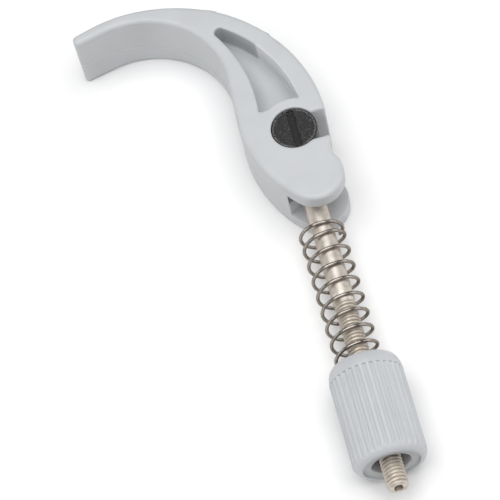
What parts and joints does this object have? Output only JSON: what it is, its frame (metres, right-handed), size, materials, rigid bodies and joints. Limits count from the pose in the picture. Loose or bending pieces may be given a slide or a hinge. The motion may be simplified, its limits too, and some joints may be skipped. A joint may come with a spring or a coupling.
{
  "type": "stair gate latch",
  "caption": "Over-centre clamp for a stair gate: hooked cam lever on a slotted barrel pin, threaded tension rod with a loose spring, and a fluted adjusting knob.",
  "frame": {"origin": "on the rod's axis, where the end of the cam lobe bears on the gate's frame in the clamped position", "axes": "the rod runs along -Y from the lever to its free tip, the lever's pivot axis is +Z, and the hook reaches towards +Y and -X"},
  "size_m": [0.0628, 0.1566, 0.0198],
  "materials": {
    "lever_plastic": "light cool grey moulded plastic with a fine matt grain",
    "black_steel": "blackened steel, satin, lightly scuffed",
    "plated_steel": "bright nickel plating with warm reflections",
    "spring_steel": "bright nickel-plated spring wire",
    "knob_plastic": "light cool grey moulded plastic, satin",
    "core_plastic": "light grey moulded plastic, satin",
    "nut_steel": "zinc-plated steel"
  },
  "bodies": {
    "rod": {"tension_rod": "plated_steel", "barrel_pin": "black_steel"},
    "lever": {"lever": "lever_plastic"},
    "carriage": {"spring": "spring_steel"},
    "knob": {"knob_sleeve": "knob_plastic", "knob_core": "core_plastic", "knob_nut": "nut_steel"}
  },
  "joints": [
    {"name": "lever_swing", "type": "hinge", "parent": "rod", "child": "lever", "pos_m": [0, 0.0234, 0], "axis": [0, 0, 1], "range_deg": [-90, 0]},
    {"name": "knob_travel", "type": "slide", "parent": "rod", "child": "carriage", "axis": [0, 1, 0], "range_m": [-0.006, 0.02], "deforming": ["spring"]},
    {"name": "knob_turn", "type": "hinge", "parent": "carriage", "child": "knob", "pos_m": [0, -0.06, 0], "axis": [0, 1, 0], "range_deg": [-2160, 7200]}
  ],
  "couplings": [
    {"joint": "knob_travel", "follows": "knob_turn", "m_per_rad": 0.00015915}
  ]
}
